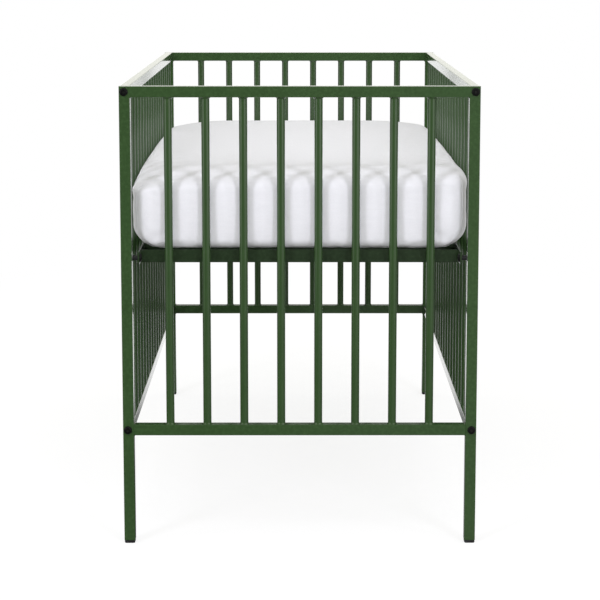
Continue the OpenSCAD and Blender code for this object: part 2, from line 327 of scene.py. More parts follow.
class Shader:
    """A node tree under construction, with short calls for the nodes that the finishes use."""

    def __init__(self, owner: bpy.types.Material | bpy.types.World | bpy.types.NodeTree) -> None:
        """Starts on a group, or on the emptied tree of a material or the world.

        Args:
            owner: The group, the material or the world.
        """
        self.tree = owner
        if not isinstance(owner, bpy.types.NodeTree):
            owner.use_nodes = True
            self.tree = owner.node_tree
            self.tree.nodes.clear()

    def node(self, kind: str, *values: object, **settings: object) -> bpy.types.Node:
        """Adds a node.

        Args:
            kind: Blender's name of the node type.
            values: What feeds its first inputs, in order.
            settings: Properties of the node to set.

        Returns:
            The node.
        """
        made = self.tree.nodes.new(kind)
        for name, value in settings.items():
            setattr(made, name, value)
        for socket, value in zip(made.inputs, values):
            self.feed(socket, value)
        return made

    def feed(self, socket: bpy.types.NodeSocket, value: object) -> None:
        """Links an output to an input, or sets the input where the value is plain.

        Args:
            socket: The input.
            value: An output, or a plain value.
        """
        if isinstance(value, bpy.types.NodeSocket):
            self.tree.links.new(value, socket)
        else:
            socket.default_value = value

    def fill(self, node: bpy.types.Node, **values: object) -> bpy.types.Node:
        """Feeds a node's inputs by name.

        Args:
            node: The node.
            values: What feeds each input, with spaces in its name written as underscores.

        Returns:
            The node.
        """
        for name, value in values.items():
            self.feed(node.inputs[name.replace("_", " ")], value)
        return node

    def place(self, group: bpy.types.NodeTree, **values: object) -> dict[str, bpy.types.NodeSocket]:
        """Puts a group into the tree, and returns its outputs by name."""
        made = self.fill(self.node("ShaderNodeGroup", node_tree=group), **values)
        return dict(made.outputs.items())

    def math(self, operation: str, *values: object) -> bpy.types.NodeSocket:
        """Returns the output of a Math node on the given values."""
        return self.node("ShaderNodeMath", *values, operation=operation).outputs[0]

    def vector(self, operation: str, *values: object) -> bpy.types.NodeSocket:
        """Returns the output of a Vector Math node on the given values."""
        made = self.node("ShaderNodeVectorMath", *values, operation=operation)
        return made.outputs["Value" if operation in ("DOT_PRODUCT", "LENGTH") else "Vector"]

    def parts(self, vector: bpy.types.NodeSocket) -> tuple[bpy.types.NodeSocket, ...]:
        """Returns the three parts of a vector."""
        return tuple(self.node("ShaderNodeSeparateXYZ", vector).outputs)

    def noise(
        self, vector: object, scale: object, detail: float, roughness: float = 0.5
    ) -> bpy.types.NodeSocket:
        """Adds a noise texture.

        Args:
            vector: Where it is read.
            scale: How many of its features fit into a metre.
            detail: Number of its finer layers.
            roughness: Strength of the finer layers.

        Returns:
            Its value.
        """
        made = self.node("ShaderNodeTexNoise")
        self.fill(made, Vector=vector, Scale=scale, Detail=detail, Roughness=roughness)
        return made.outputs["Fac"]

    def spread(
        self, value: object, low: float, high: float, to_low: object = 0.0, to_high: object = 1.0
    ) -> bpy.types.NodeSocket:
        """Maps a value from one range to another, and holds it inside that.

        Args:
            value: The value.
            low: Start of its range.
            high: End of its range.
            to_low: What the start becomes.
            to_high: What the end becomes.

        Returns:
            The mapped value.
        """
        made = self.node("ShaderNodeMapRange")
        self.fill(made, Value=value, From_Min=low, From_Max=high, To_Min=to_low, To_Max=to_high)
        return made.outputs["Result"]

    def mix(self, factor: object, first: object, second: object) -> bpy.types.NodeSocket:
        """Mixes two colours.

        Args:
            factor: Share of the second colour.
            first: The first colour.
            second: The second colour.

        Returns:
            The mix.
        """
        made = self.node("ShaderNodeMix", data_type="RGBA")
        for index, value in ((0, factor), (6, first), (7, second)):
            self.feed(made.inputs[index], (*value, 1.0) if isinstance(value, tuple) else value)
        return made.outputs[2]

    def bump(self, height: object, distance: float, **normal: object) -> bpy.types.NodeSocket:
        """Returns the normal of a Bump node, on top of another normal if one is given."""
        made = self.node("ShaderNodeBump")
        return self.fill(made, Distance=distance, Height=height, **normal).outputs["Normal"]

    def object_place(self) -> bpy.types.NodeSocket:
        """Returns the place on the piece, in metres."""
        return self.node("ShaderNodeTexCoord").outputs["Object"]


def node_group(
    name: str, inputs: dict[str, float | None], outputs: Sequence[str]
) -> tuple[Shader, dict[str, bpy.types.NodeSocket], Callable[..., bpy.types.NodeTree]]:
    """Starts a shader node group that puts out numbers.

    Args:
        name: Name of the group.
        inputs: Default value of each input, which is None for a vector.
        outputs: Names of the outputs.

    Returns:
        The group's tools, the sockets that give its inputs by name, and a function that
        feeds its outputs and returns the finished group.
    """
    group = bpy.data.node_groups.new(name, "ShaderNodeTree")
    for label, value in inputs.items():
        kind = "NodeSocketVector" if value is None else "NodeSocketFloat"
        socket = group.interface.new_socket(label, in_out="INPUT", socket_type=kind)
        if value is not None:
            socket.default_value = value
    for label in outputs:
        group.interface.new_socket(label, in_out="OUTPUT", socket_type="NodeSocketFloat")
    s = Shader(group)
    given, out = dict(s.node("NodeGroupInput").outputs.items()), s.node("NodeGroupOutput")

    def finish(**values: bpy.types.NodeSocket) -> bpy.types.NodeTree:
        """Feeds the group's outputs and returns the group."""
        s.fill(out, **values)
        return group

    return s, given, finish


class Effects:
    """The node groups that several finishes share, each built once.

    Attributes:
        EDGES: Range of pointiness over which outer edges wear.
        HOLLOWS: Range of pointiness over which inner corners hold dust.
        FOLDS: Axis, place, half width and noise scale of each fold of the sheet.
        FOLD_SWAY: How far a fold strays from its straight line.
    """

    EDGES: Pair = (0.52, 0.60)
    HOLLOWS: Pair = (0.49, 0.42)
    FOLDS: tuple[tuple[int, float, float, float], ...] = (
        (2, 0.6015, 0.0012, 5.0), (2, 0.6205, 0.0009, 9.0), (0, 0.152, 0.0014, 7.0),
        (0, -0.148, 0.0014, 6.0), (1, 0.302, 0.0016, 5.0), (1, -0.299, 0.0016, 6.0),
    )
    FOLD_SWAY: float = 0.8 * MM

    def __init__(self) -> None:
        """Builds all the groups."""
        self.grain = self._grain()
        self.edge_wear = self._patchy("edge wear", self.EDGES, (160.0, 4.0), (0.45, 0.7))
        self.weave = self._weave()
        self.soiling = self._patchy("corner dust", self.HOLLOWS, (35.0, 5.0), (0.35, 0.75))
        self.fold_lines = self._fold_lines()

    @staticmethod
    def _grain() -> bpy.types.NodeTree:
        """Builds the fine grain of a sprayed, moulded or plated surface.

        Returns:
            The group, with a height and a slow mottle.
        """
        s, given, finish = node_group(
            "surface grain",
            {"Place": None, "Grain Scale": 900.0, "Fine Scale": 3200.0, "Mottle Scale": 14.0},
            ("Height", "Mottle"),
        )
        peel = s.noise(given["Place"], given["Grain Scale"], 2.0, 0.45)
        fine = s.noise(given["Place"], given["Fine Scale"], 1.0)
        mottle = s.noise(given["Place"], given["Mottle Scale"], 4.0, 0.6)
        return finish(Height=s.math("ADD", peel, s.math("MULTIPLY", fine, 0.3)), Mottle=mottle)

    @staticmethod
    def _patchy(name: str, edge: Pair, noise: Pair, patches: Pair) -> bpy.types.NodeTree:
        """Builds a mask of outer edges or inner corners, broken up by noise.

        Args:
            name: Name of the group.
            edge: Range of pointiness over which the mask rises.
            noise: Scale and detail of the noise.
            patches: Range of the noise over which the mask rises.

        Returns:
            The group, with the mask.
        """
        s, given, finish = node_group(name, {"Place": None, "Amount": 0.5}, ("Mask",))
        edges = s.spread(s.node("ShaderNodeNewGeometry").outputs["Pointiness"], *edge)
        broken = s.spread(s.noise(given["Place"], *noise, 0.6), *patches)
        return finish(Mask=s.math("MULTIPLY", s.math("MULTIPLY", edges, broken), given["Amount"]))

    @staticmethod
    def _weave() -> bpy.types.NodeTree:
        """Builds a plain weave that lies on faces of any direction.

        Returns:
            The group, with the threads' height and the threads' uneven thickness.
        """
        s, given, finish = node_group(
            "plain weave", {"Place": None, "Threads": 2000.0}, ("Height", "Slub")
        )
        turned = s.math("MULTIPLY", given["Threads"], math.pi)
        x, y, z = (
            s.math("SINE", s.math("MULTIPLY", part, turned)) for part in s.parts(given["Place"])
        )
        xy, yz, zx = s.math("MULTIPLY", x, y), s.math("MULTIPLY", y, z), s.math("MULTIPLY", z, x)
        height = s.spread(s.math("ADD", s.math("ADD", xy, yz), zx), -1.0, 1.0)
        slubs = [
            s.noise(s.vector("MULTIPLY", given["Place"], stretch), 420.0, 2.0, 0.6)
            for stretch in ((1.0, 0.08, 1.0), (0.08, 1.0, 0.3))
        ]
        return finish(Height=height, Slub=s.math("MULTIPLY", s.math("ADD", *slubs), 0.5))

    def _fold_lines(self) -> bpy.types.NodeTree:
        """Builds the faint creases that cloth keeps from lying folded in its packet.

        Returns:
            The group, with the creases' height.
        """
        s, given, finish = node_group("fold lines", {"Place": None}, ("Height",))
        parts = s.parts(given["Place"])
        total: object = 0.0
        for axis, offset, width, scale in self.FOLDS:
            stray = s.noise(given["Place"], scale, 2.0)
            sway = s.spread(stray, 0.3, 0.7, -self.FOLD_SWAY, self.FOLD_SWAY)
            across = s.math("ADD", s.math("SUBTRACT", parts[axis], offset), sway)
            line = s.spread(s.math("ABSOLUTE", across), 0.0, width, 1.0, 0.0)
            broken = s.spread(s.noise(given["Place"], 2.2 * scale, 3.0, 0.6), 0.47, 0.6)
            total = s.math("ADD", total, s.math("MULTIPLY", line, broken))
        return finish(Height=total)


# Finishes


def blank_material(
    name: str,
) -> tuple[bpy.types.Material, Shader, bpy.types.Node, bpy.types.NodeSocket]:
    """Starts a material with one Principled BSDF.

    Args:
        name: Name of the material.

    Returns:
        The material, its tools, the Principled BSDF and the place on the piece.
    """
    made = bpy.data.materials.new(name)
    s = Shader(made)
    skin = s.node("ShaderNodeBsdfPrincipled")
    s.node("ShaderNodeOutputMaterial", skin.outputs["BSDF"])
    return made, s, skin, s.object_place()


@dataclass(frozen=True)
class PaintedSteel:
    """Powder coat, or another sprayed coat, on steel.

    Attributes:
        name: Name of the material.
        colour: Colour of the coat.
        shade: Its darker tone, in slow patches.
        roughness: Least and greatest roughness.
        gloss: Weight of the clear outer skin.
        peel: Height of the orange peel.
        wear: How much the outer edges lighten.
        dust: Colour of the dust in its corners.
    """

    name: str
    colour: Colour
    shade: Colour
    roughness: Pair = (0.4, 0.5)
    gloss: float = 1.0
    peel: float = 0.003 * MM
    wear: float = 0.35
    dust: Colour = (0.16, 0.16, 0.14)

    def material(self, effects: Effects) -> bpy.types.Material:
        """Builds the material.

        Args:
            effects: The shared node groups.

        Returns:
            The material.
        """
        made, s, skin, place = blank_material(self.name)
        grain = s.place(effects.grain, Place=place, Grain_Scale=750.0, Fine_Scale=2600.0)
        worn = s.place(effects.edge_wear, Place=place, Amount=self.wear)["Mask"]
        dusty = s.place(effects.soiling, Place=place, Amount=0.25)["Mask"]
        colour = s.mix(s.spread(grain["Mottle"], 0.35, 0.65), self.shade, self.colour)
        colour = s.mix(worn, colour, tuple(min(1.0, 1.7 * c + 0.01) for c in self.colour))
        s.fill(
            skin,
            Base_Color=s.mix(dusty, colour, self.dust),
            Roughness=s.spread(grain["Height"], 0.3, 1.0, *self.roughness),
            Normal=s.bump(grain["Height"], self.peel),
            Specular_IOR_Level=0.15,
            Coat_Weight=self.gloss,
            Coat_Roughness=0.12,
        )
        return made


@dataclass(frozen=True)
class PlatedSteel:
    """Bare plated steel with a fine crystal pattern.

    Attributes:
        name: Name of the material.
        colour: Colour of the plating.
        bright: Colour of its worn edges.
        relief: Height of its grain.
    """

    name: str
    colour: Colour
    bright: Colour = (0.75, 0.76, 0.77)
    relief: float = 0.01 * MM

    def material(self, effects: Effects) -> bpy.types.Material:
        """Builds the material.

        Args:
            effects: The shared node groups.

        Returns:
            The material.
        """
        made, s, skin, place = blank_material(self.name)
        grain = s.place(effects.grain, Place=place, Grain_Scale=1500.0, Mottle_Scale=220.0)
        worn = s.place(effects.edge_wear, Place=place, Amount=0.5)["Mask"]
        mottle = s.spread(grain["Mottle"], 0.3, 0.7)
        colour = s.mix(mottle, tuple(0.7 * c for c in self.colour), self.colour)
        s.fill(
            skin,
            Base_Color=s.mix(worn, colour, self.bright),
            Roughness=s.spread(grain["Mottle"], 0.3, 0.7, 0.26, 0.42),
            Normal=s.bump(grain["Height"], self.relief),
            Metallic=1.0,
        )
        return made


@dataclass(frozen=True)
class MouldedPlastic:
    """Matt moulded plastic with a spark-eroded grain.

    Attributes:
        name: Name of the material.
        colour: Colour of the plastic.
        dust: Colour of the dust in its corners.
        relief: Height of its grain.
    """

    name: str
    colour: Colour
    dust: Colour = (0.12, 0.11, 0.1)
    relief: float = 0.05 * MM

    def material(self, effects: Effects) -> bpy.types.Material:
        """Builds the material.

        Args:
            effects: The shared node groups.

        Returns:
            The material.
        """
        made, s, skin, place = blank_material(self.name)
        grain = s.place(effects.grain, Place=place, Grain_Scale=2200.0, Mottle_Scale=60.0)
        worn = s.place(effects.edge_wear, Place=place, Amount=0.6)["Mask"]
        dusty = s.place(effects.soiling, Place=place, Amount=0.5)["Mask"]
        colour = s.mix(worn, self.colour, tuple(2.2 * c + 0.02 for c in self.colour))
        s.fill(
            skin,
            Base_Color=s.mix(dusty, colour, self.dust),
            Roughness=s.spread(grain["Mottle"], 0.3, 0.7, 0.5, 0.66),
            Normal=s.bump(grain["Height"], self.relief),
        )
        return made


@dataclass(frozen=True)
class WovenCloth:
    """Woven cotton or ticking.

    Attributes:
        name: Name of the material.
        colour: Colour of the cloth.
        shade: Colour of its thicker threads and hollows.
        threads: Threads in a metre.
        relief: Height of the threads.
        sheen: Weight of the soft fuzz.
        creases: Depth of the creases from its packet.
    """

    name: str
    colour: Colour
    shade: Colour
    threads: float = 1600.0
    relief: float = 0.08 * MM
    sheen: float = 0.12
    creases: float = 0.0

    def material(self, effects: Effects) -> bpy.types.Material:
        """Builds the material.

        Args:
            effects: The shared node groups.

        Returns:
            The material.
        """
        made, s, skin, place = blank_material(self.name)
        weave = s.place(effects.weave, Place=place, Threads=self.threads)
        slub = weave["Slub"]
        normal = s.bump(s.math("ADD", weave["Height"], s.math("MULTIPLY", slub, 1.5)), self.relief)
        if self.creases > 0:
            folds = s.place(effects.fold_lines, Place=place)["Height"]
            normal = s.bump(s.math("SUBTRACT", 1.0, folds), self.creases, Normal=normal)
        s.fill(
            skin,
            Base_Color=s.mix(s.spread(slub, 0.35, 0.65), self.shade, self.colour),
            Roughness=s.spread(slub, 0.3, 0.7, 0.8, 0.95),
            Normal=normal,
            Specular_IOR_Level=0.2,
            Sheen_Weight=self.sheen,
            Sheen_Roughness=0.5,
        )
        return made


Finish = PaintedSteel | PlatedSteel | MouldedPlastic | WovenCloth


class Finishes:
    """All materials of the cot, one for each slot of the record.

    Attributes:
        FINISHES: The finish of each slot.
        by_slot: The material of each slot.
    """

    FINISHES: dict[Slot, Finish] = {
        Slot.FRAME: PaintedSteel(
            "green powder coat", (0.0295, 0.068, 0.0185), (0.0265, 0.062, 0.0165)
        ),
        # The base's coat is a darker, less glossy copy of the frame's green. Its darker colour
        # paints in part of the shade that falls on the base under the mattress.
        Slot.BASE: PaintedSteel(
            "green powder coat of the base, darkened for shade", (0.018, 0.036, 0.0135), (0.016, 0.032, 0.012),
            gloss=0.5,
        ),
        Slot.BOLTS: PaintedSteel(
            "black bolt finish", (0.006, 0.006, 0.006), (0.004, 0.004, 0.004),
            roughness=(0.35, 0.5), gloss=0.08, peel=0.01 * MM, wear=0.3,
        ),
        Slot.NUTS: PlatedSteel("zinc plating", (0.6, 0.62, 0.65)),
        Slot.FEET: MouldedPlastic("black moulded plastic", (0.014, 0.014, 0.015)),
        Slot.TICKING: WovenCloth(
            "mattress ticking", (0.76, 0.74, 0.69), (0.7, 0.68, 0.62), threads=900.0
        ),
        Slot.SHEET: WovenCloth(
            "white cotton sheet", (0.806, 0.806, 0.829), (0.771, 0.771, 0.794),
            creases=0.16 * MM,
        ),
    }

    def __init__(self) -> None:
        """Builds the shared effects and the materials."""
        effects = Effects()
        self.by_slot = {slot: finish.material(effects) for slot, finish in self.FINISHES.items()}

    def dress(self, piece: bpy.types.Object, slot: Slot) -> None:
        """Gives a CAD node or a new piece one slot's material.

        Args:
            piece: The node or piece.
            slot: The slot.
        """
        if len(piece.material_slots) == 0:
            piece.data.materials.append(self.by_slot[slot])
        for place in piece.material_slots:
            place.material = self.by_slot[slot]

    def dress_nodes(self) -> None:
        """Gives every CAD node the material of its slot in the record."""
        for part in frame["record"]["subparts"]:
            self.dress(frame["nodes"][part["node"]], Slot(part["material_slot"]))

    def add(self, piece: bpy.types.Object, slot: Slot, body: Body) -> None:
        """Dresses a new piece in the material of its slot and lets it ride on a body.

        Args:
            piece: The piece.
            slot: Its slot.
            body: Its body.
        """
        self.dress(piece, slot)
        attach(piece, body.value)


# Steel frame


@dataclass
class WeldedFrame:
    """The weld beads of the cot's steel frame.

    Attributes:
        half_width: Half of the cot's width.
        half_length: Half of its length over the legs.
        top: Height of the top rails' upper face.
        low: Height of the bottom rails' lower face.
        tube: Size of the square tube.
        side_x: Distance of the side panels from the middle.
        slat: Radius of a slat.
        pitch: Distance from slat to slat.
        end_gap: Least gap between a slat and a leg.
        bead: Half size of a slat's weld.
        seam: Half size of a rail's weld.
        seam_margin: How far a rail's weld ends inside the tube's faces.
        ripple: Distance between the ripples of a weld.
        unevenness: Shares of a weld's size that are steady, rippled and slowly uneven.
        wander: Shortest and longest wave of the slow unevenness.
        narrow: Share of its size that a slat's weld keeps on the narrow sides of an end
            rail and of a side rail.
        seat: How far a slat's weld stands off the slat and the rail, as shares of its size.
        taller: Height of a slat's weld to its width.
        ring_steps: Number of points round a slat.
    """

    half_width: float = LEG.high[0]
    half_length: float = LEG.high[1]
    top: float = LEG.high[2]
    low: float = BOTTOM_RAIL.low[2]
    tube: float = LEG.size[0]
    side_x: float = (SIDE_RAIL.low[0] + SIDE_RAIL.high[0]) / 2
    slat: float = BASE_SLATS.size[2] / 2
    pitch: float = 0.068
    end_gap: float = 0.050
    bead: float = 1.5 * MM
    seam: float = 2.0 * MM
    seam_margin: float = 1.2 * MM
    ripple: float = 1.7 * MM
    unevenness: tuple[float, float, float] = (0.92, 0.1, 0.05)
    wander: Pair = (9 * MM, 24 * MM)
    narrow: Pair = (0.8, 0.3)
    seat: Pair = (0.25, 0.1)
    taller: float = 1.15
    ring_steps: int = 40

    def slat_places(self, span: float) -> np.ndarray:
        """Returns the places of the slats that fit a clear span, centred on it."""
        count = math.floor((span - 2 * self.slat - 2 * self.end_gap) / self.pitch + TINY) + 1
        return (np.arange(count) - (count - 1) / 2) * self.pitch

    def _rippled(self, size: np.ndarray, travel: np.ndarray, seed: int) -> np.ndarray:
        """Gives a weld its ripples and a slow unevenness.

        Args:
            size: Its size at each point.
            travel: How far along the weld each point is.
            seed: Start of the random draws.

        Returns:
            The uneven sizes.
        """
        steady, rippled, uneven = self.unevenness
        slow = soft_waves(travel[:, None], self.wander, seed, 3)
        waves = np.abs(np.sin(travel * math.pi / self.ripple))
        return size * (steady + rippled * waves + uneven * slow)

    def ring(
        self, centre: Sequence[float], axis: Sequence[float], across: Sequence[float],
        least: float, seed: int,
    ) -> Bead:
        """Makes the weld round one slat's end.

        Args:
            centre: Middle of the slat's end.
            axis: Direction from the rail into the slat.
            across: Direction in which the rail is narrow.
            least: Share of the full size that the bead has on the rail's narrow sides.
            seed: Start of the random draws.

        Returns:
            The bead.
        """
        turn = np.arange(self.ring_steps) * 2 * math.pi / self.ring_steps
        axis, across = np.array(axis, float), np.array(across, float)
        along = np.cross(axis, across)
        out = np.cos(turn)[:, None] * across + np.sin(turn)[:, None] * along
        size = self.bead * (least + (1 - least) * np.sin(turn) ** 2)
        size = self._rippled(size, turn * self.slat, seed)
        off_slat, off_rail = self.seat
        path = np.array(centre) + out * (self.slat + off_slat * size)[:, None]
        path += axis * off_rail * size[:, None]
        return Bead(path, size, size * self.taller, out, closed=True)

    def rings(
        self, places: Sequence[Pair], across: Sequence[float], least: float, seed: int
    ) -> list[Bead]:
        """Makes the welds at both ends of a panel's slats.

        Args:
            places: Where the slats stand, across and along the cot.
            across: Direction in which the rails are narrow.
            least: Share of the full size that a bead has on a rail's narrow sides.
            seed: Start of the random draws.

        Returns:
            The beads.
        """
        ends = ((self.low + self.tube, 1), (self.top - self.tube, -1))
        return [
            self.ring((x, y, z), (0, 0, up), across, least, seed + 10 * k + up)
            for k, (x, y) in enumerate(places) for z, up in ends
        ]

    def seam_bead(self, start: Sequence[float], end: Sequence[float], seed: int) -> Bead:
        """Makes a straight weld in an inner corner, thinner at both ends.

        Args:
            start: One end of the corner.
            end: Its other end.
            seed: Start of the random draws.

        Returns:
            The bead.
        """
        start, end = np.array(start, float), np.array(end, float)
        length = np.linalg.norm(end - start)
        t = np.linspace(0, 1, max(8, int(length / (0.4 * self.ripple))))
        path = start + (end - start) * t[:, None]
        taper = np.sqrt(np.clip(1 - (2 * np.abs(t - 0.5)) ** 10, 0.02, 1))
        size = self._rippled(self.seam * taper, t * length, seed)
        side = np.cross((end - start) / length, [0.0, 0.0, 1.0])
        if np.linalg.norm(side) < 0.1:
            side = np.array([1.0, 0.0, 0.0])
        return Bead(path, size, size, unit(np.tile(side, (len(t), 1))), sides=10)

    def end_panel(self, end: int) -> bpy.types.Object:
        """Builds the welds of one end panel.

        Args:
            end: -1 for the front panel and 1 for the back one.

        Returns:
            The piece.
        """
        y = end * (self.half_length - self.tube / 2)
        inner = self.half_width - self.tube
        slats = [(x, y) for x in self.slat_places(2 * inner)]
        beads = self.rings(slats, (0, 1, 0), self.narrow[0], Seed.END_SLATS)
        reach = self.tube / 2 - self.seam_margin
        for side in (-1, 1):
            for z, seed in (
                (self.low, Seed.RAIL_SEAMS), (self.low + self.tube, Seed.RAIL_SEAMS),
                (self.top - self.tube, Seed.CORNER_SEAMS),
            ):
                start, finish = (side * inner, y - reach, z), (side * inner, y + reach, z)
                beads.append(self.seam_bead(start, finish, seed + side))
        return beads_object("front_panel_welds" if end < 0 else "back_panel_welds", beads)

    def side_panel(self, side: int) -> bpy.types.Object:
        """Builds the welds of one side panel.

        Args:
            side: -1 for the left panel and 1 for the right one.

        Returns:
            The piece.
        """
        span = 2 * (self.half_length - self.tube)
        slats = [(side * self.side_x, y) for y in self.slat_places(span)]
        beads = self.rings(slats, (1, 0, 0), self.narrow[1], Seed.SIDE_SLATS)
        return beads_object("left_panel_welds" if side < 0 else "right_panel_welds", beads)

    def build(self, finishes: Finishes) -> list[bpy.types.Object]:
        """Builds and dresses all the welds.

        Args:
            finishes: The materials.

        Returns:
            The pieces.
        """
        pieces = [self.end_panel(-1), self.end_panel(1), self.side_panel(-1), self.side_panel(1)]
        for piece in pieces:
            finishes.add(piece, Slot.FRAME, Body.COT)
        return pieces


@dataclass
class WeldedBase(WeldedFrame):
    """The weld beads of the bed base, on the inner faces of its side rails.

    Attributes:
        face: Distance of the side rails' inner faces from the middle.
        rest: Height of the base's upper side.
        bar: Outer face of an end bar, from the middle.
        bar_depth: Width of an end bar's lower flange.
        bar_height: Height of an end bar.
        flange: Thickness of an end bar.
        end_gap: Least gap between a slat and an end bar's lower flange.
        least: Share of its size that a slat's weld keeps on a side rail's narrow sides.
    """

    face: float = BASE_SLATS.high[0]
    rest: float = BASE_BAR.high[2]
    bar: float = BASE_BAR.high[1]
    bar_depth: float = BASE_BAR.size[1]
    bar_height: float = BASE_BAR.size[2]
    flange: float = 0.003
    end_gap: float = 0.025
    bead: float = 1.2 * MM
    seam: float = 1.5 * MM
    seam_margin: float = 1.5 * MM
    least: float = 0.15

    def build(self, finishes: Finishes) -> list[bpy.types.Object]:
        """Builds and dresses the welds.

        Args:
            finishes: The materials.

        Returns:
            The pieces.
        """
        places = self.slat_places(2 * (self.bar - self.bar_depth))
        low = self.rest - self.bar_height + self.seam_margin
        high = self.rest - self.seam_margin
        beads = []
        for side in (-1, 1):
            x = side * self.face
            for k, y in enumerate(places):
                middle, seed = (x, y, self.rest - self.slat), Seed.BASE_SLATS + 10 * k + side
                beads.append(self.ring(middle, (-side, 0, 0), (0, 0, 1), self.least, seed))
            for end in (-1, 1):
                for y in (end * self.bar, end * (self.bar - self.flange)):
                    seed = Seed.BASE_SEAMS + side + end
                    beads.append(self.seam_bead((x, y, low), (x, y, high), seed))
        piece = beads_object("base_welds", beads)
        finishes.add(piece, Slot.BASE, Body.COT)
        return [piece]


# Bedding


@dataclass(frozen=True)
class BeddingForm:
    """The soft form that the mattress and its sheet share.

    Attributes:
        half_width: Half of the outer width.
        half_length: Half of the outer length.
        bottom: Height of the underside.
        height: Height at the crown.
        plan_radius: Radius of the upright corners.
        least_radius: Least radius of a corner further in.
        top_edge: Radius of the top edge.
        bottom_edge: How far in and how far up the bottom edge is rounded.
        corner_up: How much higher its rounding is at the corners.
        corner_reach: How far from a corner that runs, across and along.
        edge_steps: Number of rings round the bottom edge.
        drop: How far the top drops towards its long and its short edges.
        drop_reach: How far from these edges that begins.
        belly: How far the long and the short sides swell at half height.
        tuck: How far the sides draw in above the bottom edge.
        corner_sag: How far the top drops at the front left, front right, back left and
            back right corner.
        sag_reach: How far from a corner that runs, across and along.
        crown: Height of the top's unevenness, and how far the top lies lower for it.
        crown_waves: Its shortest and longest wave.
        swell: Depth of the sides' unevenness, and how far the sides lie further in for it.
        swell_waves: Its shortest and longest wave.
        ripple: Height and length of the ripples that run in from the long edges, and how
            far in they run.
        ripple_slant: How far a ripple runs on along the edge for each step inward.
        ripple_bend: How far the ripples stray from straight lines, as an angle.
        bend_waves: Shortest and longest wave of that.
        ripple_cover: How much of the edges the ripples cover, between their bare patches.
        cover_waves: Shortest and longest wave of these patches.
    """

    half_width: float = SHEET.high[0]
    half_length: float = SHEET.high[1]
    bottom: float = SHEET.low[2]
    height: float = SHEET.size[2]
    plan_radius: float = 0.034
    least_radius: float = 6 * MM
    top_edge: float = 0.018
    bottom_edge: Pair = (0.036, 0.019)
    corner_up: float = 0.034
    corner_reach: Pair = (0.040, 0.140)
    edge_steps: int = 6
    drop: Pair = (0.005, 0.016)
    drop_reach: Pair = (0.060, 0.110)
    belly: Pair = (0.0004, 0.0028)
    tuck: float = 0.002
    corner_sag: tuple[float, float, float, float] = (0.015, -0.004, 0.015, 0.012)
    sag_reach: Pair = (0.07, 0.20)
    crown: Pair = (0.9 * MM, 0.6 * MM)
    crown_waves: Pair = (0.16, 0.42)
    swell: Pair = (0.7 * MM, 0.5 * MM)
    swell_waves: Pair = (0.12, 0.35)
    ripple: tuple[float, float, float] = (1.3 * MM, 54 * MM, 85 * MM)
    ripple_slant: float = 0.5
    ripple_bend: float = 0.9
    bend_waves: Pair = (0.08, 0.2)
    ripple_cover: float = 0.75
    cover_waves: Pair = (0.15, 0.4)

    def levels(self, points: np.ndarray) -> tuple[np.ndarray, np.ndarray, np.ndarray]:
        """Finds where points lie in the form.

        Args:
            points: The points.

        Returns:
            Their share of the height, and their distance inward from the long and from the
            short sides.
        """
        share = np.clip((points[:, 2] - self.bottom) / self.height, 0, 1)
        return share, self.half_width - np.abs(points[:, 0]), self.half_length - np.abs(points[:, 1])

    def plan(
        self, u: np.ndarray, v: np.ndarray, margin: float, inset: float
    ) -> tuple[np.ndarray, np.ndarray]:
        """Maps a square to the form's plan, which has round corners.

        Args:
            u: Places across, from -1 to 1.
            v: Places along, from -1 to 1.
            margin: How far the surface lies inside the outer form.
            inset: How far the plan lies inside the surface's widest one.

        Returns:
            The mapped places across and along.
        """
        half_x, half_y = self.half_width - margin - inset, self.half_length - margin - inset
        radius = max(self.plan_radius - margin - inset / 2, self.least_radius)
        corner_x, corner_y = half_x - radius, half_y - radius
        x, y = np.abs(u * half_x), np.abs(v * half_y)
        qx, qy = np.clip((x - corner_x) / radius, 0, 1), np.clip((y - corner_y) / radius, 0, 1)
        new_x = np.where(qx > 0, corner_x + radius * qx * np.sqrt(1 - qy**2 / 2), x)
        new_y = np.where(qy > 0, corner_y + radius * qy * np.sqrt(1 - qx**2 / 2), y)
        return np.sign(u) * new_x, np.sign(v) * new_y

    def near_corner(self, x: np.ndarray, y: np.ndarray) -> np.ndarray:
        """Finds how near places of the outline are to a corner.

        Args:
            x: Places across.
            y: Places along.

        Returns:
            0 away from the corners, and up to 1 at a corner.
        """
        across = (self.half_width - np.abs(x)) / self.corner_reach[0]
        along = (self.half_length - np.abs(y)) / self.corner_reach[1]
        return np.minimum(smooth_step(1 - across), smooth_step(1 - along))

    def drop_at(self, edge_x: np.ndarray, edge_y: np.ndarray) -> np.ndarray:
        """Finds how far the top drops towards its edges.

        Args:
            edge_x: Distances inward from the long sides.
            edge_y: Distances inward from the short sides.

        Returns:
            The drops.
        """
        across = np.clip(1 - edge_x / self.drop_reach[0], 0, 1)
        along = np.clip(1 - edge_y / self.drop_reach[1], 0, 1)
        return np.hypot(self.drop[0] * across**2, self.drop[1] * along**2)

    def profile(
        self, near: np.ndarray, margin: float, cell: float, turn_in: float
    ) -> list[tuple[float, float | np.ndarray]]:
        """Lists the rings from the top's edge down the side and in under the form.

        Args:
            near: How near each place of a ring is to a corner.
            margin: How far the surface lies inside the outer form.
            cell: Size of a quad.
            turn_in: Width of the strip that turns in under the bottom edge.

        Returns:
            The inset and the height of each ring.
        """
        top = self.top_edge - margin
        low_in, low_up = self.bottom_edge[0], self.bottom_edge[1] + self.corner_up * near
        side_low = self.bottom + margin + low_up
        side_high = self.bottom + self.height - margin - top
        quarter = math.pi / 2

        def steps(span: float, count: int) -> np.ndarray:
            """Returns the ends of equal steps over a span."""
            return np.linspace(0, span, count + 1)[1:]

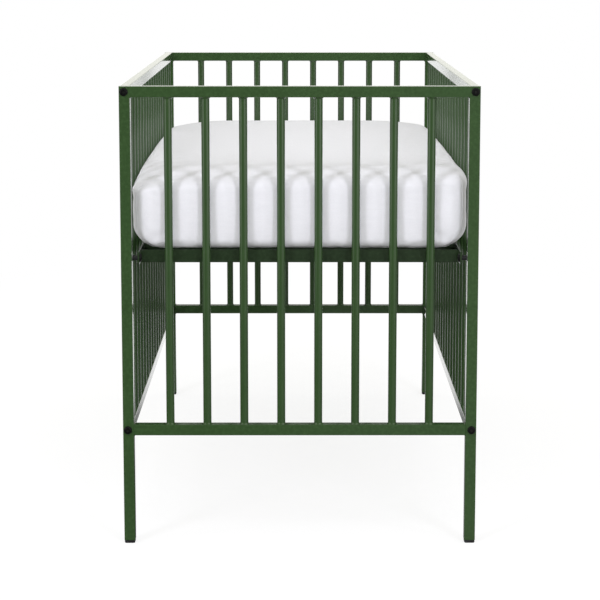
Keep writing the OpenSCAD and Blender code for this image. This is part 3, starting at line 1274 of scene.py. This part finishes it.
        rings: list[tuple[float, float | np.ndarray]] = []
        for a in steps(quarter, round(quarter * top / cell)):
            rings.append((top * (1 - math.sin(a)), side_high + top * math.cos(a)))
        for t in steps(1, round((side_high - side_low.min()) / cell)):
            rings.append((self.tuck * t**2, side_high + (side_low - side_high) * t))
        for a in steps(quarter, self.edge_steps):
            inset = self.tuck + low_in * (1 - math.cos(a))
            rings.append((inset, side_low - low_up * math.sin(a)))
        for t in steps(1, max(2, round(turn_in / cell))):
            rings.append((self.tuck + low_in + turn_in * t, self.bottom + margin))
        return rings

    def shell(
        self, margin: float, cell: float, turn_in: float, closed: bool
    ) -> tuple[np.ndarray, list[tuple[int, ...]], np.ndarray]:
        """Builds the form as a mesh of quads.

        Args:
            margin: How far the surface lies inside the outer form.
            cell: Size of a quad.
            turn_in: Width of the strip that turns in under the bottom edge.
            closed: Whether the underside is closed.

        Returns:
            The points, the faces, and the vertex numbers of the rings, from the top's
            edge down to the end of the turned-in strip.
        """
        top = self.top_edge - margin
        nx = round(2 * (self.half_width - margin - top) / cell)
        ny = round(2 * (self.half_length - margin - top) / cell)
        u, v = np.meshgrid(np.linspace(-1, 1, nx + 1), np.linspace(-1, 1, ny + 1), indexing="ij")
        x, y = self.plan(u, v, margin, top)
        z = np.full_like(x, self.bottom + self.height - margin)
        points = [np.stack([x, y, z], -1).reshape(-1, 3)]
        grid = np.arange((nx + 1) * (ny + 1)).reshape(nx + 1, ny + 1)
        faces = [
            (grid[i, j], grid[i + 1, j], grid[i + 1, j + 1], grid[i, j + 1])
            for i in range(nx) for j in range(ny)
        ]
        loop = (
            [(i, 0) for i in range(nx)] + [(nx, j) for j in range(ny)]
            + [(nx - i, ny) for i in range(nx)] + [(0, ny - j) for j in range(ny)]
        )
        rim_u, rim_v = (np.array([side[place] for place in loop]) for side in (u, v))
        near = self.near_corner(*self.plan(rim_u, rim_v, margin, 0.0))
        rings = [np.array([grid[place] for place in loop])]
        count = grid.size
        for inset, z in self.profile(near, margin, cell, turn_in):
            x, y = self.plan(rim_u, rim_v, margin, inset)
            points.append(np.stack([x, y, np.full_like(x, z)], -1))
            before, ring = rings[-1], count + np.arange(len(loop))
            faces += zip(before, ring, np.roll(ring, -1), np.roll(before, -1))
            rings.append(ring)
            count += len(loop)
        if closed:
            faces += self._underside(points, rings[-1], loop, (nx, ny))
        return np.concatenate(points), faces, np.array(rings)

    @staticmethod
    def _underside(
        points: list[np.ndarray], rim: np.ndarray, loop: list[tuple[int, int]],
        size: tuple[int, int],
    ) -> list[tuple[int, ...]]:
        """Closes the underside with a grid inside the last ring.

        Args:
            points: Arrays of points, to which the grid's are added.
            rim: Vertex numbers of the last ring, which are the last so far.
            loop: Grid places of the ring's vertices.
            size: Number of quads across and along.

        Returns:
            The faces.
        """
        nx, ny = size
        at = {place: int(vertex) for place, vertex in zip(loop, rim)}
        half_x, half_y, _ = points[-1].max(0)
        level = points[-1][:, 2].mean()
        added = []
        for i in range(1, nx):
            for j in range(1, ny):
                at[i, j] = int(rim[-1]) + 1 + len(added)
                added.append(((2 * i / nx - 1) * half_x, (2 * j / ny - 1) * half_y, level))
        points.append(np.array(added))
        return [
            (at[i, j], at[i, j + 1], at[i + 1, j + 1], at[i + 1, j])
            for i in range(nx) for j in range(ny)
        ]

    def settle(self, points: np.ndarray) -> np.ndarray:
        """Gives the form the slight unevenness of foam and cloth that have been slept on.

        Args:
            points: Points on the form.

        Returns:
            The moved points.
        """
        moved, flat = points.copy(), points[:, :2]
        share, edge_x, edge_y = self.levels(points)
        across, along = self.sag_reach
        corner = np.exp(-((edge_x / across) ** 2 + (edge_y / along) ** 2))
        which = 1 * (points[:, 0] > 0) + 2 * (points[:, 1] > 0)
        fall = np.array(self.corner_sag)[which] * corner + self.drop_at(edge_x, edge_y)
        moved[:, 2] -= share**2 * fall
        high, lower = self.crown
        crown = high * soft_waves(flat, self.crown_waves, Seed.CROWN) - lower
        moved[:, 2] += share**3 * crown
        height, length, inward = self.ripple
        turn = 2 * math.pi * (points[:, 1] - self.ripple_slant * edge_x) / length
        bend = self.ripple_bend * soft_waves(flat, self.bend_waves, Seed.RIPPLE_PATH)
        cover = self.ripple_cover + soft_waves(flat, self.cover_waves, Seed.RIPPLE_PATCHES)
        ripples = np.sin(turn + bend) * smooth_step(cover)
        moved[:, 2] += share**3 * height * ripples * np.exp(-((edge_x / inward) ** 2))
        outward = flat / (self.half_width, self.half_length)
        outward = np.sign(outward) * np.abs(outward) ** 10
        wide, narrower = self.swell
        waves = wide * soft_waves(points, self.swell_waves, Seed.SWELL) - narrower
        belly = waves[:, None] + np.array(self.belly)
        moved[:, :2] += outward * (np.sin(np.pi * share)[:, None] * belly)
        return moved


@dataclass
class Mattress:
    """The foam mattress in its quilted ticking, inside the fitted sheet.

    Attributes:
        form: The dressed form that it fills.
        margin: How far its cover lies inside the sheet's outer side.
        cell: Size of a quad.
        turn_in: Width of the strip of quads that follows the bottom edge.
        quilt: Distance between the quilted channels.
        channel: Depth of a channel.
        channel_share: Half width of a channel, as a share of its wave.
        flatness: Most that a point of the flat underside lies off its level.
    """

    form: BeddingForm
    margin: float = 3.2 * MM
    cell: float = 8 * MM
    turn_in: float = 60 * MM
    quilt: float = 62 * MM
    channel: float = 1.4 * MM
    channel_share: float = 0.3
    flatness: float = 2 * MM

    def build(self, finishes: Finishes) -> list[bpy.types.Object]:
        """Builds the mattress, quilted on its underside.

        Args:
            finishes: The materials.

        Returns:
            The piece, in a list of its own.
        """
        points, faces, _ = self.form.shell(self.margin, self.cell, self.turn_in, True)
        points = self.form.settle(points)
        under = np.abs(points[:, 2] - self.form.bottom - self.margin) < self.flatness
        channels = np.zeros(len(points))
        for diagonal in (points[:, 0] + points[:, 1], points[:, 0] - points[:, 1]):
            wave = np.abs(np.sin(diagonal * math.pi / (self.quilt * math.sqrt(2))))
            channels = np.maximum(channels, 1 - smooth_step(wave / self.channel_share))
        points[:, 2] += np.where(under, self.channel * channels, 0)
        piece = mesh_object("mattress_core", points, faces)
        subdivide(piece)
        finishes.add(piece, Slot.TICKING, Body.BEDDING)
        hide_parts("mattress")
        return [piece]


@dataclass
class FittedSheet:
    """The white fitted sheet: a thin cloth over the mattress, drawn in under it by its hem.

    Attributes:
        form: The dressed form whose outer side it is.
        cell: Size of a quad before the cloth is smoothed.
        turn_under: Width of the strip that turns in under the mattress.
        thickness: Thickness of the cloth.
        frames: Number of steps of the cloth simulation.
        spare: Share by which the cloth is too large at its corners.
        spare_reach: How far from a corner the spare cloth runs, across and along.
        spare_height: Share of the height up to which the lower edge has spare cloth.
        under_edge: How far in from the sides the strip under the mattress is held fast.
        grip: How firmly the faces are held, and how much less firmly the corners are.
        reach: Most that a point of the cloth may move.
        inward: Most that it may move towards the mattress.
        limit: Greatest distance of the cloth from the middle, across and along, which
            keeps it off the side rails and the end panels.
        seam: Half width and half height of a corner seam.
        seam_step: Distance between the points of a seam's path.
        stitches: How much the stitches vary a seam's half width.
        stitch_waves: Shortest and longest wave of that.
        hem: Half width and half height of the hem.
        hem_step: Distance between the points of the hem's path.
        hem_lift: Height of the hem's middle over the form's underside.
        gathers: How much the gathers vary the hem's half width and half height.
        gather_waves: Shortest and longest wave of the gathers, for both.
    """

    form: BeddingForm
    cell: float = 8 * MM
    turn_under: float = 80 * MM
    thickness: float = 0.8 * MM
    frames: int = 18
    spare: float = 0.035
    spare_reach: Pair = (0.10, 0.12)
    spare_height: float = 0.35
    under_edge: float = 0.03
    grip: Pair = (0.75, 0.72)
    reach: float = 5 * MM
    inward: float = 2.0 * MM
    limit: Pair = (SIDE_RAIL.low[0] - 0.6 * MM, LEG.low[1] - 0.6 * MM)
    seam: Pair = (1.7 * MM, 0.55 * MM)
    seam_step: float = 1.5 * MM
    stitches: float = 0.25 * MM
    stitch_waves: Pair = (5 * MM, 9 * MM)
    hem: Pair = (5 * MM, 0.55 * MM)
    hem_step: float = 2.5 * MM
    hem_lift: float = 0.75 * MM
    gathers: Pair = (0.6 * MM, 0.12 * MM)
    gather_waves: tuple[Pair, Pair] = ((7 * MM, 16 * MM), (6 * MM, 12 * MM))

    def build(self, finishes: Finishes) -> list[bpy.types.Object]:
        """Builds the sheet, its corner seams and its hem.

        Args:
            finishes: The materials.

        Returns:
            The pieces, the sheet first.
        """
        points, faces, rings = self.form.shell(0.0, self.cell, self.turn_under, False)
        cloth = mesh_object("sheet_cloth", self.form.settle(points), faces)
        self._drape(cloth)
        subdivide(cloth)
        points = rows(cloth.data)
        skin = cloth.modifiers.new("skin", "SOLIDIFY")
        skin.thickness, skin.offset = self.thickness, -1
        apply_modifiers(cloth)
        hem = self._hem(points[rings[-1]])
        seams = self._seams(points, rings)
        for piece in (cloth, hem, seams):
            finishes.add(piece, Slot.SHEET, Body.BEDDING)
        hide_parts("fitted_sheet")
        return [cloth, hem, seams]

    def _weights(self, points: np.ndarray) -> tuple[np.ndarray, np.ndarray]:
        """Finds where the cloth is held, and where it has cloth to spare.

        Args:
            points: The cloth's points.

        Returns:
            How firmly each point is held, and its share of the spare cloth.
        """
        share, edge_x, edge_y = self.form.levels(points)
        across, along = self.spare_reach
        corner = np.exp(-((edge_x / across) ** 2 + (edge_y / along) ** 2))
        under = (share < 0.02) & (edge_x > self.under_edge) & (edge_y > self.under_edge)
        low = smooth_step(1 - share / self.spare_height)
        spare = np.clip(corner * (0.35 + 0.65 * (1 - share)) + 0.35 * low, 0, 1)
        firm, looser = self.grip
        held = firm - looser * np.clip(corner * (1.15 - 0.5 * share) + 0.45 * low, 0, 1)
        return np.where(under, 1.0, held), np.where(under, 0.2, spare)

    def _drape(self, cloth: bpy.types.Object) -> None:
        """Puckers the cloth by a simulation, and writes the result into its mesh.

        The hem and the faces hold the cloth, and its corners have cloth to spare. No
        point moves further than the room between the mattress and the slats allows.

        Args:
            cloth: The piece.
        """
        start = rows(cloth.data)
        held, spare = self._weights(start)
        for name, weights in (("held", held), ("taut", 1 - spare)):
            group = cloth.vertex_groups.new(name=name)
            for vertex, weight in enumerate(weights):
                group.add([vertex], float(weight), "REPLACE")
        physics = cloth.modifiers.new("drape", "CLOTH")
        physics.collision_settings.use_collision = False
        settings = physics.settings
        settings.quality = 5
        settings.mass = 0.15
        settings.tension_stiffness = settings.compression_stiffness = 20.0
        settings.shear_stiffness = 8.0
        settings.bending_stiffness = 0.02
        settings.use_pressure, settings.uniform_pressure_force = True, 1.2
        settings.vertex_group_mass, settings.pin_stiffness = "held", 1.0
        settings.vertex_group_shrink = "taut"
        settings.shrink_min, settings.shrink_max = -self.spare, 0.0
        settings.effector_weights.gravity = 0.0
        scene = bpy.context.scene
        for step in range(1, self.frames + 1):
            scene.frame_set(step)
        graph = bpy.context.evaluated_depsgraph_get()
        moved = rows(cloth.evaluated_get(graph).data)
        cloth.modifiers.clear()
        cloth.vertex_groups.clear()
        scene.frame_set(1)
        capped = self._within_reach(start, moved, rows(cloth.data, "normal"))
        cloth.data.vertices.foreach_set("co", capped.ravel())
        cloth.data.update()

    def _within_reach(
        self, start: np.ndarray, moved: np.ndarray, normals: np.ndarray
    ) -> np.ndarray:
        """Caps how far the cloth's points have moved.

        Args:
            start: Where the points were.
            moved: Where the simulation moved them.
            normals: Their outward directions at the start.

        Returns:
            The capped places.
        """
        step = moved - start
        length = np.maximum(np.linalg.norm(step, axis=1, keepdims=True), TINY)
        step *= self.reach * np.tanh(length / self.reach) / length
        out = np.sum(step * normals, axis=1, keepdims=True)
        kept = np.maximum(out, -self.inward)
        step += normals * (kept - out)
        LOG.info("cloth moved up to %.1f mm out and %.1f mm in", kept.max() / MM, -kept.min() / MM)
        capped = start + step
        for axis in (0, 1):
            bound = np.maximum(self.limit[axis], np.abs(start[:, axis]))
            capped[:, axis] = np.clip(capped[:, axis], -bound, bound)
        capped[:, 2] = np.maximum(capped[:, 2], self.form.bottom)
        return capped

    def _seams(self, points: np.ndarray, rings: np.ndarray) -> bpy.types.Object:
        """Builds the sewn seams that run down the four corners.

        Args:
            points: The cloth's points.
            rings: Vertex numbers of its rings.

        Returns:
            The piece.
        """
        beads = []
        for sign_x in (-1, 1):
            for sign_y in (-1, 1):
                place = points[rings[len(rings) // 3]][:, :2] @ (sign_x, sign_y)
                s, path = spaced(points[rings[1:, int(np.argmax(place))]], self.seam_step)
                side = np.tile(np.array([sign_x, -sign_y, 0.0]) / math.sqrt(2), (len(s), 1))
                waves = soft_waves(s[:, None], self.stitch_waves, Seed.SEAM_WIDTH, 3)
                width, height = self.seam
                width = width + self.stitches * waves
                beads.append(Bead(path, width, np.full(len(s), height), side))
        return beads_object("sheet_corner_seams", beads)

    def _hem(self, rim: np.ndarray) -> bpy.types.Object:
        """Builds the elastic hem along the cloth's inner edge.

        Args:
            rim: Points of that edge.

        Returns:
            The piece.
        """
        s, path = spaced(rim, self.hem_step, closed=True)
        side = unit(np.cross(np.roll(path, -1, 0) - np.roll(path, 1, 0), [0, 0, 1]))
        path[:, 2] = self.form.bottom + self.hem_lift
        width, height = (
            half + gather * soft_waves(s[:, None], lengths, seed, 4)
            for half, gather, lengths, seed in zip(
                self.hem, self.gathers, self.gather_waves, (Seed.HEM_WIDTH, Seed.HEM_HEIGHT)
            )
        )
        return beads_object("sheet_hem", [Bead(path, width, height, side, closed=True, sides=10)])


# Studio


@dataclass
class Camera:
    """The camera at the photograph's viewpoint.

    Attributes:
        place: Where it stands.
        tilt: Degrees that it looks down.
        turn: Degrees that it is turned about the upright.
        sensor: Width of its sensor, in millimetres.
        lens: Focal length, in millimetres.
        shift: Upward shift of its frame, as a share of the frame.
        clip: Nearest and furthest distance that it sees.
    """

    place: tuple[float, float, float] = (-0.0043, -4.0965, 1.0774)
    tilt: float = 8.338
    turn: float = -0.0795
    sensor: float = 36.0
    lens: float = 116.095
    shift: float = -0.1
    clip: Pair = (0.05, 200.0)

    def build(self) -> None:
        """Adds the camera and makes it the scene's."""
        data = bpy.data.cameras.new("camera")
        data.sensor_width, data.lens, data.shift_y = self.sensor, self.lens, self.shift
        data.clip_start, data.clip_end = self.clip
        made = bpy.data.objects.new("camera", data)
        made.location = self.place
        made.rotation_euler = (math.radians(90 - self.tilt), 0, math.radians(self.turn))
        bpy.context.scene.collection.objects.link(made)
        bpy.context.scene.camera = made


@dataclass
class Studio:
    """The plain floor, the soft lights and the surroundings.

    Attributes:
        ambient: Brightness of the world on the object, from the horizon and from straight above.
        room_tint: Colour of the light that the room gives.
        front: Brightness of the front of the room in reflections, at its left and right.
        front_turn: Where that turns from the left's to the right's, across the room.
        side: Brightness of its sides in reflections.
        side_turn: Where the front's brightness turns into the sides', along the room.
        back: Brightness of its back in reflections, at the horizon and above it.
        back_turn: Where the sides' brightness turns into the back's, along the room.
        back_rise: Where the back's turns from the horizon's to the one above, in height.
        glow: Brightness that the left and the right softbox add in reflections.
        glow_edge: Where that starts and is full, as cosines of the angle from its middle.
        floor_size: Half size of the floor.
        floor_grey: Grey of the floor as it lights the cot.
        seen_floor: Grey of the floor that the camera sees, and its own glow.
        floor_fade: Where that floor starts and ends to turn into plain white.
        mirror_fade: Where the softboxes start and end to show in the floor's reflections.
        power: Power of the left and the right softbox.
        tint: Colour of the lamps.
        box_size: Width and height of a softbox.
        side_power: Power of each strip light further to the side.
        side_size: Width and height of such a strip light.
        top_power: Power of the light overhead.
        top_size: Its width and length.
        azimuth: Degrees that the softboxes stand to the left and to the right.
        glint: The same for the strip lights, and where reflections show their glow.
        elevation: Degrees that they stand above the horizon.
        top_elevation: The same for the light overhead.
        aim: Point that the lamps face.
        distance: Their distance from it.
    """

    ambient: Pair = (0.68, 0.86)
    room_tint: Colour = (1.01, 1.005, 0.94)
    front: Pair = (0.05, 0.22)
    front_turn: Pair = (-0.1, 0.1)
    side: float = 0.2
    side_turn: Pair = (-0.35, 0.25)
    back: Pair = (1.22, 0.28)
    back_turn: Pair = (0.87, 0.985)
    back_rise: Pair = (0.08, 0.2)
    glow: Pair = (1.6, 1.35)
    glow_edge: Pair = (0.9, 0.985)
    floor_size: float = 40.0
    floor_grey: float = 0.6
    seen_floor: Pair = (0.24, 0.79)
    floor_fade: Pair = (0.9, 2.6)
    mirror_fade: Pair = (1.6, 8.0)
    power: Pair = (121.0, 114.5)
    tint: Colour = (0.97, 0.97, 1.08)
    box_size: Pair = (1.15, 4.4)
    side_power: float = 21.0
    side_size: Pair = (0.24, 1.6)
    top_power: float = 27.0
    top_size: Pair = (3.2, 3.2)
    azimuth: Pair = (35.0, 26.0)
    glint: Pair = (62.0, 50.0)
    elevation: float = 30.0
    top_elevation: float = 88.0
    aim: tuple[float, float, float] = (0.0, -0.2, 0.6)
    distance: float = 6.4

    def surroundings(self) -> bpy.types.NodeTree:
        """Builds the group that gives how bright the room is in reflections, by direction.

        Returns:
            The group, from a direction or a place on the floor to a strength with the
            softboxes and one without.
        """
        s, given, finish = node_group("surroundings", {"Direction": None}, ("Strength", "Plain"))
        direction = given["Direction"]
        level = s.vector("NORMALIZE", s.vector("MULTIPLY", direction, (1, 1, 0)))
        across, along, _ = s.parts(level)
        ahead = s.spread(across, *self.front_turn, *self.front)
        beside = s.spread(along, *self.side_turn, ahead, self.side)
        behind = s.spread(s.parts(direction)[2], *self.back_rise, *self.back)
        plain = s.spread(along, *self.back_turn, beside, behind)
        strength = plain
        for side, azimuth, glow in zip((-1, 1), self.glint, self.glow):
            a = math.radians(azimuth)
            near = s.vector("DOT_PRODUCT", level, (side * math.sin(a), -math.cos(a), 0))
            strength = s.math("ADD", strength, s.spread(near, *self.glow_edge, 0.0, glow))
        return finish(Strength=strength, Plain=plain)

    def world(self, surroundings: bpy.types.NodeTree) -> None:
        """Makes the world white for the camera, and grey on the object.

        Args:
            surroundings: The group that gives its brightness in reflections.
        """
        made = bpy.data.worlds.new("studio")
        bpy.context.scene.world = made
        s = Shader(made)
        rays = s.node("ShaderNodeLightPath").outputs
        place = s.node("ShaderNodeTexCoord").outputs["Generated"]
        seen, shiny = rays["Is Camera Ray"], rays["Is Glossy Ray"]
        shiny = s.math("MAXIMUM", shiny, rays["Is Transmission Ray"])
        mirrored = s.place(surroundings, Direction=place)["Strength"]
        strength = s.math("ADD", s.math("MULTIPLY", shiny, mirrored), seen)
        plain = s.math("SUBTRACT", 1.0, s.math("MAXIMUM", shiny, seen))
        sky = s.spread(s.parts(place)[2], 0.0, 1.0, *self.ambient)
        strength = s.math("ADD", strength, s.math("MULTIPLY", plain, sky))
        colour = s.mix(seen, self.room_tint, (1.0, 1.0, 1.0))
        light = s.node("ShaderNodeBackground", colour, strength)
        s.node("ShaderNodeOutputWorld", light.outputs[0])

    def floor(self, surroundings: bpy.types.NodeTree) -> None:
        """Makes the pale floor, which keeps the cot's shadow.

        Args:
            surroundings: The group that gives its brightness in reflections.
        """
        size = self.floor_size
        points = np.array([(-size, -size, 0), (size, -size, 0), (size, size, 0), (-size, size, 0)])
        made = mesh_object("studio_floor", points, [(0, 1, 2, 3)])
        material = bpy.data.materials.new("pale floor")
        s = Shader(material)
        rays = s.node("ShaderNodeLightPath").outputs
        place = s.object_place()
        away = s.vector("LENGTH", place)
        far = s.spread(away, *self.floor_fade)
        seen = self._mixed(s, far, self._glowing(s, *self.seen_floor), self._glow(s, 1.0))
        room = s.place(surroundings, Direction=place)
        boxes = s.math("SUBTRACT", room["Strength"], room["Plain"])
        boxes = s.math("MULTIPLY", boxes, s.spread(away, *self.mirror_fade))
        mirrored = self._glow(s, s.math("ADD", room["Plain"], boxes))
        shader = self._mixed(s, rays["Is Camera Ray"], self._glowing(s, self.floor_grey, 0.0), seen)
        shader = self._mixed(s, rays["Is Glossy Ray"], shader, mirrored)
        s.node("ShaderNodeOutputMaterial", shader)
        made.data.materials.append(material)

    @staticmethod
    def _glow(s: Shader, strength: object) -> bpy.types.NodeSocket:
        """Returns a white emission of a strength."""
        return s.node("ShaderNodeEmission", (1, 1, 1, 1), strength).outputs[0]

    @staticmethod
    def _mixed(s: Shader, share: object, first: object, second: object) -> bpy.types.NodeSocket:
        """Returns a mix of two shaders."""
        return s.node("ShaderNodeMixShader", share, first, second).outputs[0]

    def _glowing(self, s: Shader, grey: float, strength: float) -> bpy.types.NodeSocket:
        """Returns a matt grey surface with a glow of its own."""
        matt = s.node("ShaderNodeBsdfDiffuse", (grey, grey, grey, 1)).outputs[0]
        return s.node("ShaderNodeAddShader", matt, self._glow(s, strength)).outputs[0]

    def lamp(self, name: str, azimuth: float, elevation: float, power: float, size: Pair) -> None:
        """Adds a soft light that faces the cot.

        Args:
            name: Name of the light.
            azimuth: Degrees that it stands to the right of the front.
            elevation: Degrees that it stands above the horizon.
            power: Its power.
            size: Its width and height.
        """
        data = bpy.data.lights.new(name, "AREA")
        data.shape, data.energy, data.color = "RECTANGLE", power, self.tint
        data.size, data.size_y = size
        made = bpy.data.objects.new(name, data)
        bpy.context.scene.collection.objects.link(made)
        a, e = math.radians(azimuth), math.radians(elevation)
        away = Vector((math.sin(a) * math.cos(e), -math.cos(a) * math.cos(e), math.sin(e)))
        made.location = Vector(self.aim) + away * self.distance
        made.rotation_mode = "QUATERNION"
        made.rotation_quaternion = away.to_track_quat("Z", "Y")
        made.visible_glossy = False

    def build(self) -> None:
        """Builds the whole studio."""
        surroundings = self.surroundings()
        self.world(surroundings)
        self.floor(surroundings)
        for k, (side, name) in enumerate(((-1, "left"), (1, "right"))):
            box, strip = side * self.azimuth[k], side * self.glint[k]
            self.lamp(f"{name} softbox", box, self.elevation, self.power[k], self.box_size)
            self.lamp(f"{name} strip", strip, self.elevation, self.side_power, self.side_size)
        self.lamp("overhead", 0.0, self.top_elevation, self.top_power, self.top_size)
        Camera().build()
        bpy.context.scene.view_settings.view_transform = "Standard"


def main() -> None:
    """Builds the cot's dressing piece by piece, and reports each one."""
    logging.basicConfig(level=logging.INFO, format="%(name)s: %(message)s")
    finishes = Finishes()
    finishes.dress_nodes()
    form = BeddingForm()
    for assembly in (WeldedFrame(), WeldedBase(), Mattress(form), FittedSheet(form)):
        for piece in assembly.build(finishes):
            LOG.info("%s: %d faces", piece.name, len(piece.data.polygons))
    Studio().build()


if __name__ == "__main__":
    main()
